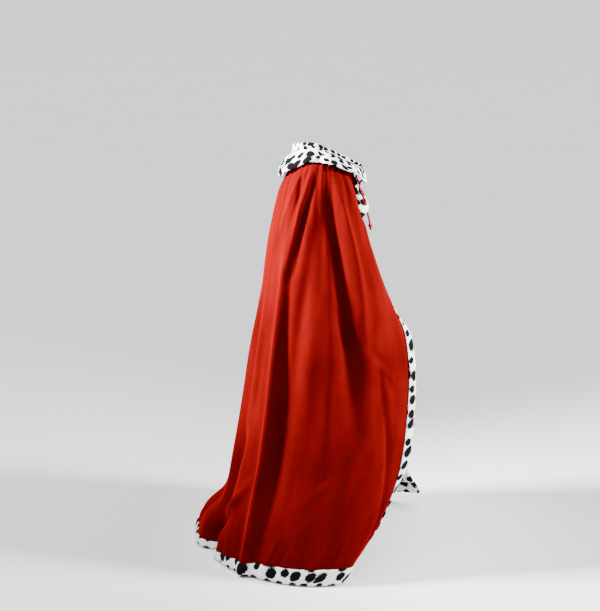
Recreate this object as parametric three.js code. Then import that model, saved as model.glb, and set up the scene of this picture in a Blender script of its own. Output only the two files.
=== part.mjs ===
// A small king robe in the form it takes when worn: a one-piece velvet cape gathered into a wide spotted
// plush collar, with a spotted plush band folded over both front edges and the hem, and a cord tie in front.
// Millimetres, +Z up. The origin is the middle of the neck opening at the collar seam. The front is at -Y.
// Bearings are degrees about +Z seen from above: 0 is the back, 90 the right side, 180 the front.
import * as THREE from "three";

// Driving dimensions.
const CAPE_LENGTH = 770;
const VELVET = 1.6;
const PLUSH = 2.4;
const COLLAR_THICKNESS = 3;
const SEAM_GAP = 0.3;
const BAND_WIDTH = 28;
const BAND_CROWN = 1.2;
const CORD_DIAMETER = 4;

// How finely the cloth is divided.
const COLUMNS = 80;
const RIDGE_COLUMN = 50;
const ROWS = 19;
const ROW_BIAS = 1.35;
const SECTION_SAMPLES = 720;
const BAND_COLUMNS = 3;
const COLLAR_STATIONS = 60;
const FALL_ROWS = 6;

const rad = THREE.MathUtils.degToRad;
const lerp = THREE.MathUtils.lerp;
const smooth = (x) => THREE.MathUtils.smoothstep(x, 0, 1);
const UP = new THREE.Vector3(0, 0, 1);

// The cape's hoops, from the collar seam to the hem. at: share of the cape's length.
// leftEdge, rightEdge: bearings of the front edges. hook: degrees that the right front edge turns inwards.
// reach, level: distance from the neck opening's axis, and height, at nine bearings 45 degrees apart,
// from the front (-180) round the left side, the back (0) and the right side to the front again (180).
const HOOPS = [
  { name: "collar seam", at: 0.0, leftEdge: -170, rightEdge: 156, hook: 0,
    reach: [50, 50, 50, 51, 51, 51, 50, 50, 50],
    level: [-24, -18, -6, -2, 8, 20, 8, -12, -24] },
  { name: "shoulder slope", at: 0.03, leftEdge: -170, rightEdge: 148, hook: 0,
    reach: [58, 64, 76, 70, 70, 73, 68, 56, 52],
    level: [-42, -36, -20, -22, -10, 6, -8, -30, -44] },
  { name: "shoulder turn", at: 0.09, leftEdge: -170, rightEdge: 143, hook: 0,
    reach: [70, 86, 112, 84, 84, 92, 90, 60, 60],
    level: [-78, -70, -50, -58, -50, -36, -40, -66, -84] },
  { name: "below the shoulders", at: 0.18, leftEdge: -170, rightEdge: 152, hook: 45,
    reach: [86, 108, 130, 98, 100, 108, 106, 76, 76],
    level: [-142, -132, -114, -120, -116, -104, -104, -128, -146] },
  { name: "upper third", at: 0.315, leftEdge: -169, rightEdge: 151, hook: 60,
    reach: [106, 130, 148, 114, 118, 126, 130, 112, 104],
    level: [-230, -222, -210, -218, -216, -206, -204, -216, -230] },
  { name: "upper middle", at: 0.46, leftEdge: -169, rightEdge: 138, hook: 0,
    reach: [134, 154, 160, 132, 138, 146, 146, 158, 188],
    level: [-334, -328, -320, -328, -326, -316, -314, -318, -330] },
  { name: "lower middle", at: 0.585, leftEdge: -168, rightEdge: 136, hook: 0,
    reach: [158, 168, 172, 144, 152, 158, 148, 168, 212],
    level: [-420, -416, -410, -418, -418, -412, -406, -408, -420] },
  { name: "lower third", at: 0.735, leftEdge: -168, rightEdge: 122, hook: 0,
    reach: [188, 184, 186, 166, 170, 172, 166, 176, 190],
    level: [-526, -524, -522, -528, -530, -526, -520, -518, -526] },
  { name: "above the train", at: 0.87, leftEdge: -169, rightEdge: 100, hook: 24,
    reach: [226, 200, 202, 190, 192, 184, 184, 180, 176],
    level: [-620, -626, -626, -630, -630, -628, -624, -620, -624] },
  { name: "train", at: 0.94, leftEdge: -170, rightEdge: 89, hook: 60,
    reach: [246, 208, 212, 236, 202, 189, 184, 180, 176],
    level: [-656, -672, -676, -680, -680, -679, -676, -674, -676] },
  { name: "hem", at: 1.0, leftEdge: -171, rightEdge: 78, hook: 80,
    reach: [270, 214, 216, 248, 208, 193, 182, 180, 176],
    level: [-692, -716, -724, -724, -724, -724, -724, -722, -722] },
];
const HOOP_BEARINGS = HOOPS[0].reach.map((_, k) => -180 + 45 * k);
const HOOK_LENGTH = 50;
const HOOK_BLEND = 20;

// Drape folds running down the cape, on top of the hoops. from, to: shares of the length where each starts
// and ends. bearing, depth, width: at its start, middle and end. Depth is outwards for a ridge, inwards for
// a trough.
const FOLDS = [
  { name: "long back ridge", from: 0.05, to: 1.15,
    bearing: [40, 17, 7], depth: [4, 10, 8], width: [9, 13, 15] },
  { name: "trough beside it", from: 0.08, to: 1.0,
    bearing: [50, 34, 28], depth: [-4, -9, -3], width: [10, 18, 26] },
  { name: "side ridge", from: 0.05, to: 0.6,
    bearing: [57, 52, 50], depth: [2, 5, 0], width: [8, 12, 20] },
  { name: "deep side trough", from: 0.04, to: 0.75,
    bearing: [61, 65, 70], depth: [-5, -13, -3], width: [8, 15, 22] },
  { name: "front side ridge", from: 0.04, to: 0.75,
    bearing: [65, 80, 84], depth: [5, 9, 2], width: [8, 13, 22] },
  { name: "left shoulder trough", from: 0.05, to: 0.7,
    bearing: [-40, -48, -52], depth: [-4, -9, -2], width: [9, 16, 24] },
  { name: "left side ridge", from: 0.05, to: 1.1,
    bearing: [-62, -70, -74], depth: [3, 7, 9], width: [9, 17, 26] },
  { name: "left side trough", from: 0.1, to: 1.1,
    bearing: [-84, -92, -96], depth: [-3, -8, -16], width: [10, 18, 26] },
  { name: "left front ridge", from: 0.06, to: 1.1,
    bearing: [-104, -112, -116], depth: [3, 7, 9], width: [10, 17, 24] },
  { name: "left front trough", from: 0.2, to: 1.1,
    bearing: [-128, -132, -136], depth: [-2, -7, -14], width: [10, 17, 24] },
  { name: "back flare trough", from: 0.62, to: 1.15,
    bearing: [-8, -17, -20], depth: [0, -26, -42], width: [14, 16, 18] },
];
const FOLD_EASE = 6;
const STOPS = [0, 0.5, 1];
const GATHERS = { count: 20, depth: 1.4, starts: 0.03, fadeFrom: 0.06, fadeTo: 0.22 };

// The collar at bearings round the neck opening. stand: height of its roll above the seam. spread: how far
// the roll leans out. fall: its width down the cloth. lift: how far the free edge stands off the cloth. The
// jump near 60 degrees is the crease where the front of the collar is folded over the back of it.
const COLLAR = [
  { bearing: -165, stand: 10, spread: 12, fall: 28, lift: 12 },
  { bearing: -130, stand: 16, spread: 8, fall: 32, lift: 11 },
  { bearing: -90, stand: 24, spread: 2, fall: 34, lift: 10 },
  { bearing: -32, stand: 30, spread: 0, fall: 34, lift: 9 },
  { bearing: 10, stand: 28, spread: 0, fall: 30, lift: 9 },
  { bearing: 48, stand: 20, spread: 0, fall: 23, lift: 6 },
  { bearing: 60, stand: 19, spread: 4, fall: 26, lift: 13 },
  { bearing: 80, stand: 15, spread: 4, fall: 28, lift: 13 },
  { bearing: 100, stand: 12, spread: 6, fall: 33, lift: 13 },
  { bearing: 125, stand: 11, spread: 12, fall: 33, lift: 15 },
  { bearing: 155, stand: 9, spread: 15, fall: 24, lift: 17 },
];
const COLLAR_WAVES = { count: 11, depth: 1.6 };

// Value at x of a smooth curve through the points (xs, ys).
function through(xs, ys, x) {
  let i = xs.findIndex((_, k) => k < xs.length - 1 && x <= xs[k + 1]);
  if (i < 0) i = xs.length - 2;
  const slope = (k) => {
    const a = Math.max(0, k - 1);
    const b = Math.min(xs.length - 1, k + 1);
    return (ys[b] - ys[a]) / (xs[b] - xs[a]);
  };
  const h = xs[i + 1] - xs[i];
  const t = (x - xs[i]) / h;
  const t2 = t * t;
  const t3 = t2 * t;
  return (2 * t3 - 3 * t2 + 1) * ys[i] + (t3 - 2 * t2 + t) * h * slope(i)
    + (3 * t2 - 2 * t3) * ys[i + 1] + (t3 - t2) * h * slope(i + 1);
}

const hoopShares = HOOPS.map((hoop) => hoop.at);
const alongHoops = (pick, share) => through(hoopShares, HOOPS.map(pick), share);

// The hoop at a share of the length, ready to be read at any bearing.
function hoopAt(share) {
  const reaches = HOOP_BEARINGS.map((_, k) => alongHoops((hoop) => hoop.reach[k], share));
  const levels = HOOP_BEARINGS.map((_, k) => alongHoops((hoop) => hoop.level[k], share));
  return {
    leftEdge: alongHoops((hoop) => hoop.leftEdge, share),
    rightEdge: alongHoops((hoop) => hoop.rightEdge, share),
    hook: alongHoops((hoop) => hoop.hook, share),
    reach: (bearing) => through(HOOP_BEARINGS, reaches, bearing),
    level: (bearing) => through(HOOP_BEARINGS, levels, bearing),
  };
}

// How far the drape folds move the cloth outwards.
function foldDepth(share, bearing, reach) {
  let depth = 0;
  for (const fold of FOLDS) {
    const s = (share - fold.from) / (fold.to - fold.from);
    if (s <= 0 || s >= 1) continue;
    const at = (list) => through(STOPS, list, s);
    const away = (rad(bearing - at(fold.bearing)) * reach) / at(fold.width);
    const ends = smooth(s * FOLD_EASE) * smooth((1 - s) * FOLD_EASE);
    depth += at(fold.depth) * ends * Math.exp(-away * away);
  }
  return depth;
}

// How far the gathers at the collar seam move the cloth outwards.
function gatherDepth(share, bearing) {
  const fade = 1 - smooth((share - GATHERS.fadeFrom) / (GATHERS.fadeTo - GATHERS.fadeFrom));
  return GATHERS.depth * fade * smooth(share / GATHERS.starts) * Math.cos(rad(bearing) * GATHERS.count);
}

// Point at a bearing, reach and height.
const pointAt = (bearing, reach, level) =>
  new THREE.Vector3(-Math.sin(rad(bearing)) * reach, Math.cos(rad(bearing)) * reach, level);

const moved = (p, direction, mm) => p.clone().addScaledVector(direction, mm);

// Point of the plain hoop. The last HOOK_LENGTH before the right front edge bends inwards as an arc.
function plainPoint(hoop, bearing) {
  const plain = pointAt(bearing, hoop.reach(bearing), hoop.level(bearing));
  const natural = HOOK_LENGTH / hoop.reach(hoop.rightEdge);
  const bend = hoop.rightEdge - THREE.MathUtils.radToDeg(natural);
  if (hoop.hook <= 0 || bearing <= bend) return plain;
  const start = pointAt(bend, hoop.reach(bend), plain.z);
  const along = pointAt(bend + 1, hoop.reach(bend + 1), plain.z).sub(start).normalize();
  const inwards = new THREE.Vector3(-along.y, along.x, 0);
  const turn = natural + rad(hoop.hook);
  const angle = (turn * (bearing - bend)) / (hoop.rightEdge - bend);
  const hooked = moved(moved(start, along, (HOOK_LENGTH / turn) * Math.sin(angle)), inwards,
    (HOOK_LENGTH / turn) * (1 - Math.cos(angle)));
  return plain.lerp(hooked, smooth(hoop.hook / HOOK_BLEND));
}

// Point on the outside of the velvet: the plain hoop moved outwards by the folds and gathers, which die out
// at the right front edge.
function clothPoint(hoop, share, bearing) {
  const reach = hoop.reach(bearing);
  const still = smooth((rad(hoop.rightEdge - bearing) * reach) / HOOK_LENGTH);
  const out = (foldDepth(share, bearing, reach) + gatherDepth(share, bearing)) * still;
  return moved(plainPoint(hoop, bearing), pointAt(bearing, 1, 0), out);
}

// Bearing of the long back ridge, which one column of the cloth follows.
const RIDGE = FOLDS[0];
function ridgeBearing(share) {
  const along = (share - RIDGE.from) / (RIDGE.to - RIDGE.from);
  return through(STOPS, RIDGE.bearing, THREE.MathUtils.clamp(along, 0, 1));
}

// Even spacing from one length to another, without the two ends.
const between = (from, to, count) =>
  Array.from({ length: count }, (_, k) => lerp(from, to, (k + 1) / (count + 1)));

// One row of the cloth, from the left front edge to the right one. Its columns are even on the plain hoop on
// either side of the long ridge, with exact stops for the front bands.
function clothRow(share) {
  const hoop = hoopAt(share);
  const bearings = Array.from({ length: SECTION_SAMPLES + 1 }, (_, k) =>
    lerp(hoop.leftEdge, hoop.rightEdge, k / SECTION_SAMPLES));
  const line = bearings.map((bearing) => plainPoint(hoop, bearing));
  const run = [0];
  for (let k = 1; k <= SECTION_SAMPLES; k++) run.push(run[k - 1] + line[k].distanceTo(line[k - 1]));
  const length = run[SECTION_SAMPLES];
  const ridge = run[bearings.findIndex((bearing) => bearing >= ridgeBearing(share))];
  const half = BAND_WIDTH / 2;
  const places = [
    0, half, BAND_WIDTH,
    ...between(BAND_WIDTH, ridge, RIDGE_COLUMN - BAND_COLUMNS),
    ridge,
    ...between(ridge, length - BAND_WIDTH, COLUMNS - RIDGE_COLUMN - 1 - BAND_COLUMNS),
    length - BAND_WIDTH, length - half, length,
  ];
  let k = 1;
  return places.map((place) => {
    while (k < SECTION_SAMPLES && run[k] < place) k++;
    const bearing = lerp(bearings[k - 1], bearings[k], (place - run[k - 1]) / (run[k] - run[k - 1]));
    return clothPoint(hoop, share, bearing);
  });
}

// Rows lie closer together at the shoulders, and stop exactly at the hem band's upper edge and middle.
const hemBandTop = 1 - BAND_WIDTH / CAPE_LENGTH;
const hemBandMiddle = 1 - BAND_WIDTH / CAPE_LENGTH / 2;
const rowShares = Array.from({ length: ROWS }, (_, k) => hemBandTop * (k / ROWS) ** ROW_BIAS);
rowShares.push(hemBandTop, hemBandMiddle, 1);

// Unit vectors off a sheet of points, on its outer side.
function sheetNormals(sheet) {
  const rows = sheet.length - 1;
  const columns = sheet[0].length - 1;
  return sheet.map((row, i) => row.map((_, j) => {
    const across = sheet[i][Math.min(j + 1, columns)].clone().sub(sheet[i][Math.max(j - 1, 0)]);
    const down = sheet[Math.min(i + 1, rows)][j].clone().sub(sheet[Math.max(i - 1, 0)][j]);
    return down.cross(across).normalize();
  }));
}

const movedSheet = (sheet, normals, mm) =>
  sheet.map((row, i) => row.map((p, j) => moved(p, normals[i][j], mm)));

// A closed solid through rings of equal length, capped at both ends. Point k of a ring faces point n - 1 - k
// across the wall. turned says which of a ring's edges have their quads split along the other diagonal.
function loft(rings, turned) {
  const n = rings[0].length;
  const position = rings.flat().flatMap((p) => [p.x, p.y, p.z]);
  const index = [];
  for (let i = 0; i + 1 < rings.length; i++) {
    for (let j = 0; j < n; j++) {
      const a = i * n + j;
      const b = i * n + ((j + 1) % n);
      if (turned(j)) index.push(a, b + n, b, a, a + n, b + n);
      else index.push(a, a + n, b, b, a + n, b + n);
    }
  }
  const last = (rings.length - 1) * n;
  for (let j = 0; j < n / 2 - 1; j++) {
    const [a, b, c, d] = [j, j + 1, n - 2 - j, n - 1 - j];
    index.push(a, b, c, a, c, d);
    index.push(last + a, last + c, last + b, last + a, last + d, last + c);
  }
  const geometry = new THREE.BufferGeometry();
  geometry.setAttribute("position", new THREE.Float32BufferAttribute(position, 3));
  geometry.setIndex(index);
  return geometry;
}

// A wall between an outer and an inner sheet of points.
const wall = (outside, inside) =>
  loft(outside.map((row, i) => [...row, ...inside[i].slice().reverse()]), (j) => j >= outside[0].length);

// The finish of each material.
const VELVET_PILE = { color: 0xb81412, roughness: 0.7, metalness: 0 };
const WHITE_PLUSH = { color: 0xf2f0ee, roughness: 0.95, metalness: 0 };
const RED_CORD = { color: 0xb01224, roughness: 0.6, metalness: 0 };

const robe = new THREE.Group();
robe.name = "king_robe";

function addPiece(name, geometry, finish) {
  geometry.computeVertexNormals();
  const mesh = new THREE.Mesh(geometry, new THREE.MeshStandardMaterial(finish));
  mesh.name = name;
  robe.add(mesh);
}

// The velvet cape.
const outer = rowShares.map(clothRow);
const normals = sheetNormals(outer);
const inner = movedSheet(outer, normals, -VELVET);
addPiece("velvet_cape", wall(outer, inner), VELVET_PILE);

const LAST_ROW = outer.length - 1;
const LAST_COLUMN = COLUMNS - 1;
const clothAt = (i, j) => ({ out: outer[i][j], in: inner[i][j], normal: normals[i][j] });

// Section of a plush band folded over an edge of the velvet: along the face, round the edge and back inside.
// rim, half and edge are three places on the velvet, and away is the unit vector off its edge.
const PLUSH_FACE = SEAM_GAP + PLUSH;
const FOLD_RING_TURN = 11;
function bandRing(rim, half, edge, away) {
  const face = (place, mm) => moved(place.out, place.normal, mm);
  const under = (place, mm) => moved(place.in, place.normal, -mm);
  return [
    face(rim, PLUSH_FACE),
    face(half, PLUSH_FACE + BAND_CROWN),
    face(edge, PLUSH_FACE),
    moved(face(edge, PLUSH_FACE / 2), away, PLUSH_FACE),
    moved(under(edge, PLUSH_FACE / 2), away, PLUSH_FACE),
    under(edge, PLUSH_FACE),
    under(half, PLUSH_FACE),
    under(rim, PLUSH_FACE),
    under(rim, SEAM_GAP),
    under(half, SEAM_GAP),
    moved(under(edge, SEAM_GAP), away, SEAM_GAP),
    moved(edge.in, away, SEAM_GAP),
    moved(edge.out, away, SEAM_GAP),
    moved(face(edge, SEAM_GAP), away, SEAM_GAP),
    face(half, SEAM_GAP),
    face(rim, SEAM_GAP),
  ];
}

// The hem band, from the left front corner to the right one, reaching past both front edges.
const HEM_END = 3;
function hemRing(j) {
  const away = outer[LAST_ROW][j].clone().sub(outer[LAST_ROW - 1][j]).normalize();
  return bandRing(clothAt(LAST_ROW - 2, j), clothAt(LAST_ROW - 1, j), clothAt(LAST_ROW, j), away);
}
function pastEnd(ring, inside) {
  return ring.map((p, k) => moved(p, p.clone().sub(inside[k]).normalize(), HEM_END));
}
const hemRings = Array.from({ length: COLUMNS }, (_, j) => hemRing(j));
hemRings.unshift(pastEnd(hemRings[0], hemRings[1]));
hemRings.push(pastEnd(hemRings[COLUMNS], hemRings[COLUMNS - 1]));
addPiece("hem_band", loft(hemRings.reverse(), (k) => k < FOLD_RING_TURN), WHITE_PLUSH);

// The front bands, from under the collar to the hem band.
const FRONT_TOP_ROW = 1;
function frontBand(edge, step) {
  const rings = [];
  for (let i = LAST_ROW - 2; i >= FRONT_TOP_ROW; i--) {
    const away = outer[i][edge].clone().sub(outer[i][edge + step]).normalize();
    rings.push(bandRing(clothAt(i, edge + 2 * step), clothAt(i, edge + step), clothAt(i, edge), away));
  }
  const gap = 2 * SEAM_GAP;
  rings[0] = rings[0].map((p, k) => moved(p, rings[1][k].clone().sub(p).normalize(), gap));
  return rings;
}
const alongFront = (rings) => loft(rings, (k) => k >= FOLD_RING_TURN);
addPiece("front_band_left", alongFront(frontBand(0, 1)), WHITE_PLUSH);
addPiece("front_band_right", alongFront(frontBand(LAST_COLUMN, -1).reverse()), WHITE_PLUSH);

// The collar: a stand on the neck seam that rolls over and falls on the cloth, as a sheet through its middle.
const collarAt = (pick, bearing) => through(COLLAR.map((c) => c.bearing), COLLAR.map(pick), bearing);
const smoothCloth = (share, bearing) => {
  const hoop = hoopAt(share);
  return pointAt(bearing, hoop.reach(bearing), hoop.level(bearing));
};
// The roll's points: up is a share of the stand, over is millimetres outwards.
const ROLL = [
  { name: "root", up: 0, over: 0 },
  { name: "stand", up: 0.55, over: -2 },
  { name: "bend", up: 0.95, over: -1 },
  { name: "roll", up: 1.06, over: 4 },
];
const ROOT_CLEARANCE = 1;
const SLOPE_STEP = 0.01;
// The fall leaves the roll upwards and stands square to the cloth by 1 / FALL_TURN of its width. Its lift off
// the cloth changes as t ** LIFT_EASE.
const FALL_TURN = 1.2;
const LIFT_EASE = 0.8;

function collarColumn(bearing) {
  const stand = collarAt((c) => c.stand, bearing);
  const fall = collarAt((c) => c.fall, bearing);
  const wave = COLLAR_WAVES.depth * Math.cos(rad(bearing) * COLLAR_WAVES.count);
  const lift = collarAt((c) => c.lift, bearing) + wave;
  const seam = smoothCloth(0, bearing);
  const outwards = pointAt(bearing, 1, 0);
  const spread = collarAt((c) => c.spread, bearing);
  const column = ROLL.map((r) =>
    moved(moved(seam, UP, ROOT_CLEARANCE + stand * r.up), outwards, r.over + spread * r.up));
  for (let k = 1; k <= FALL_ROWS; k++) {
    const t = k / FALL_ROWS;
    const share = (fall * t) / CAPE_LENGTH;
    const on = smoothCloth(share, bearing);
    const down = smoothCloth(share + SLOPE_STEP, bearing).sub(on);
    const across = pointAt(bearing + 90, 1, 0);
    const off = down.cross(across).normalize();
    const direction = UP.clone().lerp(off, smooth(t * FALL_TURN)).normalize();
    column.push(moved(moved(on, direction, lerp(stand, lift, t ** LIFT_EASE)), outwards, spread * (1 - t)));
  }
  return column;
}
const collarEnds = [COLLAR[0].bearing, COLLAR[COLLAR.length - 1].bearing];
const collarColumns = Array.from({ length: COLLAR_STATIONS + 1 }, (_, j) =>
  collarColumn(lerp(collarEnds[0], collarEnds[1], j / COLLAR_STATIONS)));
const collarSheet = collarColumns[0].map((_, i) => collarColumns.map((column) => column[i]));
const collarNormals = sheetNormals(collarSheet);
const collarFace = movedSheet(collarSheet, collarNormals, COLLAR_THICKNESS / 2);
const collarBack = movedSheet(collarSheet, collarNormals, -COLLAR_THICKNESS / 2);
addPiece("collar", wall(collarFace, collarBack), WHITE_PLUSH);

// The neck tie: a string from each front end of the collar to a knot in front, and two free ends with knotted
// tips, one laid over the right front band and one hanging in front. swell is how much thicker the cord is
// at each stop.
const KNOT = { bearing: 172, reach: 64, level: -38, radius: 5.5, sides: 12, rings: 8 };
const FREE_ENDS = {
  tie_end_right: [
    { bearing: 158, reach: 66, level: -41, swell: 1 },
    { bearing: 146, reach: 66, level: -42, swell: 1 },
    { bearing: 133, reach: 67.5, level: -43, swell: 1 },
    { bearing: 126, reach: 69, level: -48, swell: 1 },
    { bearing: 127, reach: 70, level: -56, swell: 1 },
    { bearing: 129, reach: 71, level: -63, swell: 1.1 },
    { bearing: 129.5, reach: 71.5, level: -66, swell: 1.9 },
    { bearing: 130, reach: 72, level: -70, swell: 1.9 },
    { bearing: 130, reach: 72, level: -73, swell: 1 },
  ],
  tie_end_left: [
    { bearing: 169, reach: 67, level: -56, swell: 1 },
    { bearing: 164, reach: 74, level: -78, swell: 1 },
    { bearing: 158, reach: 80, level: -98, swell: 1 },
    { bearing: 155, reach: 82.5, level: -113, swell: 1.1 },
    { bearing: 154.5, reach: 83, level: -116, swell: 1.9 },
    { bearing: 154, reach: 83.5, level: -120, swell: 1.9 },
    { bearing: 154, reach: 83.5, level: -123, swell: 1 },
  ],
};
const STRING_LEAD = 5;
const CORD_SIDES = 8;
const CORD_STATIONS = 16;
const STRING_STATIONS = 8;

// A round cord along a smooth path. swells are its thicknesses at the path's points.
function cord(path, swells, stations) {
  const curve = new THREE.CatmullRomCurve3(path);
  const frames = curve.computeFrenetFrames(stations);
  const run = [0];
  path.slice(1).forEach((p, i) => run.push(run[i] + p.distanceTo(path[i])));
  const rings = Array.from({ length: stations + 1 }, (_, k) => {
    const r = (CORD_DIAMETER / 2) * through(run, swells, (k / stations) * run[run.length - 1]);
    return Array.from({ length: CORD_SIDES }, (_, i) => {
      const a = (-2 * Math.PI * i) / CORD_SIDES;
      const onSide = moved(curve.getPointAt(k / stations), frames.normals[k], r * Math.cos(a));
      return moved(onSide, frames.binormals[k], r * Math.sin(a));
    });
  });
  return loft(rings, () => false);
}
const knot = pointAt(KNOT.bearing, KNOT.reach, KNOT.level);
const offKnot = (towards) => moved(knot, towards.clone().sub(knot).normalize(), KNOT.radius + SEAM_GAP);
const knotBall = new THREE.SphereGeometry(KNOT.radius, KNOT.sides, KNOT.rings);
addPiece("tie_knot", knotBall.translate(knot.x, knot.y, knot.z), RED_CORD);

for (const [name, stops] of Object.entries(FREE_ENDS)) {
  const path = stops.map((p) => pointAt(p.bearing, p.reach, p.level));
  path.unshift(offKnot(path[0]));
  addPiece(name, cord(path, [1, ...stops.map((p) => p.swell)], CORD_STATIONS), RED_CORD);
}

// A string leaves the collar's stand, one row above its root.
const stand = collarSheet[1];
function neckString(end, before) {
  const off = end.clone().sub(before).normalize();
  const lead = moved(end, off, STRING_LEAD);
  return cord([moved(end, off, SEAM_GAP), lead, offKnot(lead)], [1, 1, 1], STRING_STATIONS);
}
addPiece("tie_string_left", neckString(stand[0], stand[1]), RED_CORD);
addPiece("tie_string_right", neckString(stand[COLLAR_STATIONS], stand[COLLAR_STATIONS - 1]), RED_CORD);

export default robe;
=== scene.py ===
"""A small king robe in the form it takes when worn: velvet cape, spotted plush trim and a neck tie.

Shapes are worked out in millimetres, as on the cutting plan, and go into meshes in metres. Bearings are
degrees about +Z seen from above: 0 is the back, 90 the right side, 180 the front at -Y. The origin is the
middle of the neck opening at the collar seam.
"""

from __future__ import annotations

import logging
from dataclasses import dataclass
from enum import Enum
import bmesh
import bpy
import numpy as np
from mathutils import Matrix, Vector


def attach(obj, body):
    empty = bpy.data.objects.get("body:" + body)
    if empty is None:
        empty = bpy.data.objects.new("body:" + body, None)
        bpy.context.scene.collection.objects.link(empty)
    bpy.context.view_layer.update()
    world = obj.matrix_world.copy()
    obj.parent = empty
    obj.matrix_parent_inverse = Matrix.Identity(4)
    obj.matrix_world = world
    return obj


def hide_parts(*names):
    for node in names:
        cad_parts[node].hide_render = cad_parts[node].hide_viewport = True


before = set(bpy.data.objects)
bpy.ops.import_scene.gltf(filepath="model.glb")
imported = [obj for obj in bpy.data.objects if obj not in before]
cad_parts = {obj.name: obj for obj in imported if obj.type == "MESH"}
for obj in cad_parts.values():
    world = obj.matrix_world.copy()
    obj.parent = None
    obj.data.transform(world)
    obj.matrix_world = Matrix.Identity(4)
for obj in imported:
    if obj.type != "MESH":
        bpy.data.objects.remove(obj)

LOG = logging.getLogger("king_robe")
MM = 0.001
BODY = "root"
UP = np.array([0.0, 0.0, 1.0])

CAPE_LENGTH = 770.0
VELVET = 1.6
PLUSH = 2.4
COLLAR_THICKNESS = 3.0
SEAM_GAP = 0.3
BAND_WIDTH = 28.0
CORD_DIAMETER = 4.0

# The cape's hoops. Columns: share of the length, bearings of the left and right front edges, degrees that
# the right front edge turns inwards, reach and level at nine bearings from -180 to 180.
HOOPS = [
    (0.0, -170, 156, 0, (50, 50, 50, 51, 51, 51, 50, 50, 50), (-24, -18, -6, -2, 8, 20, 8, -12, -24)),
    (0.03, -170, 148, 0, (58, 64, 76, 70, 70, 73, 68, 56, 52), (-42, -36, -20, -22, -10, 6, -8, -30, -44)),
    (0.09, -170, 143, 0, (70, 86, 112, 84, 84, 92, 90, 60, 60),
     (-78, -70, -50, -58, -50, -36, -40, -66, -84)),
    (0.18, -170, 152, 45, (86, 108, 130, 98, 100, 108, 106, 76, 76),
     (-142, -132, -114, -120, -116, -104, -104, -128, -146)),
    (0.315, -169, 151, 50, (106, 130, 148, 114, 118, 126, 130, 112, 104),
     (-230, -222, -210, -218, -216, -206, -204, -216, -230)),
    (0.46, -169, 138, 0, (134, 154, 160, 132, 138, 146, 146, 158, 188),
     (-334, -328, -320, -328, -326, -316, -314, -318, -330)),
    (0.585, -168, 136, 0, (158, 168, 172, 144, 152, 158, 148, 168, 212),
     (-420, -416, -410, -418, -418, -412, -406, -408, -420)),
    (0.735, -168, 122, 0, (188, 184, 186, 166, 170, 172, 166, 176, 190),
     (-526, -524, -522, -528, -530, -526, -520, -518, -526)),
    (0.87, -169, 100, 44, (226, 200, 202, 190, 192, 184, 184, 180, 176),
     (-620, -626, -626, -630, -630, -628, -624, -620, -624)),
    (0.94, -170, 89, 68, (246, 208, 212, 236, 202, 189, 184, 180, 176),
     (-656, -672, -676, -680, -680, -679, -676, -674, -676)),
    (1.0, -171, 78, 88, (270, 214, 216, 248, 208, 193, 182, 180, 176),
     (-692, -716, -724, -724, -724, -724, -724, -722, -722)),
]
HOOP_BEARINGS = np.linspace(-180, 180, 9)

# How the right front edge turns inwards: the run that bends, the turn in degrees from which it bends fully,
# and the share of the run in which the turn is made.
HOOK_LENGTH = 50.0
HOOK_BLEND = 20.0
HOOK_TURN = 0.7

# Drape folds. Columns: start and end as shares of the length, then bearing, depth and width at the start,
# middle and end, and the power of the profile: 2 is round, 1.2 is a sharp crease.
FOLDS = [
    (0.10, 1.14, (20, 20.5, 9), (2, 12, 9), (9, 13, 15), 1.7),
    (0.02, 0.30, (43, 29, 20.5), (4, 8, 4), (5, 7, 10), 1.6),
    (0.08, 1.0, (50, 34, 28), (-4, -9, -3), (10, 18, 26), 2.0),
    (0.04, 0.75, (59, 72, 79), (-5, -13, -3), (8, 14, 22), 2.0),
    (0.04, 0.75, (72, 86, 87), (3, 8, 2), (8, 13, 22), 2.0),
    (0.05, 0.7, (-40, -48, -52), (-4, -9, -2), (9, 16, 24), 2.0),
    (0.05, 1.1, (-62, -70, -74), (3, 7, 9), (9, 17, 26), 2.0),
    (0.1, 1.1, (-84, -92, -96), (-3, -8, -16), (10, 18, 26), 2.0),
    (0.06, 1.1, (-104, -112, -116), (3, 7, 9), (10, 17, 24), 2.0),
    (0.2, 1.1, (-128, -132, -136), (-2, -7, -14), (10, 17, 24), 2.0),
    (0.62, 1.15, (-8, -17, -20), (0, -26, -42), (14, 16, 18), 2.0),
]
RIDGE = FOLDS[0]

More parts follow.
